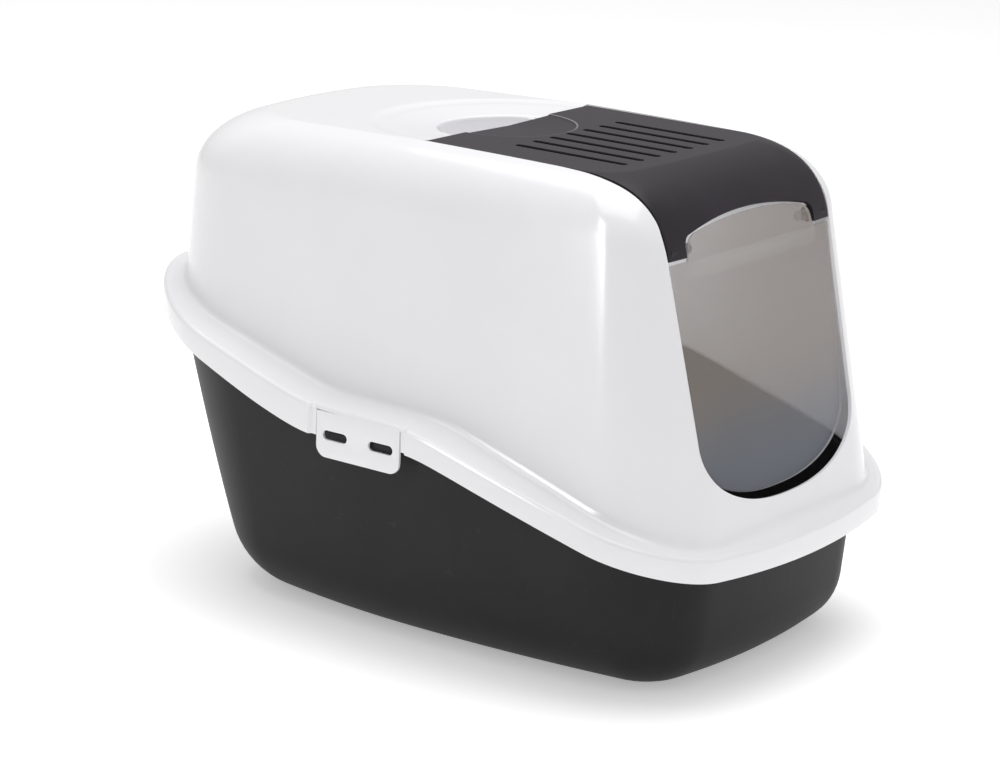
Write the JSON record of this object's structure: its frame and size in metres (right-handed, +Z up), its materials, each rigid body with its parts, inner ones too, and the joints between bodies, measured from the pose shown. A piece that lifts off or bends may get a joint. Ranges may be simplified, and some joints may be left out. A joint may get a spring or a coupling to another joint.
{
  "type": "hooded cat litter box",
  "caption": "Dark litter tub with a white clip-on hood, a hinged slotted vent cover over a filter, a carry-handle pocket and a smoked see-through swing door.",
  "frame": {"origin": "middle of the footprint of the whole box, on the floor under the tub", "axes": "+Z up, +Y towards the closed rear end, the doorway faces -Y, +X to the right of someone looking in the +Y direction; X = 0 is the plane of symmetry"},
  "size_m": [0.3884, 0.56, 0.377],
  "materials": {
    "tub_plastic": "anthracite, satin moulded polypropylene",
    "hood_plastic": "white, glossy moulded polypropylene",
    "cover_plastic": "anthracite, fine satin texture",
    "filter_frame_plastic": "anthracite, plain",
    "charcoal_pad": "activated-carbon foam",
    "smoked_plastic": "transparent, smoked taupe, polished"
  },
  "bodies": {
    "tub": {"tray": "tub_plastic"},
    "hood": {"hood": "hood_plastic"},
    "cover": {"vent_cover": "cover_plastic", "filter_frame": "filter_frame_plastic", "filter_pad": "charcoal_pad"},
    "door": {"door": "smoked_plastic"},
    "latch_left": {"latch_left": "hood_plastic"},
    "latch_right": {"latch_right": "hood_plastic"}
  },
  "joints": [
    {"name": "hood_lift", "type": "slide", "parent": "tub", "child": "hood", "axis": [0, 0, 1], "range_m": [0, 0.25]},
    {"name": "cover_open", "type": "hinge", "parent": "hood", "child": "cover", "pos_m": [0, 0.013, 0.377], "axis": [-1, 0, 0], "range_deg": [0, 95]},
    {"name": "door_swing", "type": "hinge", "parent": "cover", "child": "door", "pos_m": [0, -0.2065, 0.326], "axis": [1, 0, 0], "range_deg": [-75, 75]},
    {"name": "latch_left_flex", "type": "hinge", "parent": "hood", "child": "latch_left", "pos_m": [-0.19075, 0, 0.1795], "axis": [0, 1, 0], "range_deg": [0, 15], "stiffness_Nm_per_rad": 0.3},
    {"name": "latch_right_flex", "type": "hinge", "parent": "hood", "child": "latch_right", "pos_m": [0.19075, 0, 0.1795], "axis": [0, -1, 0], "range_deg": [0, 15], "stiffness_Nm_per_rad": 0.3}
  ]
}
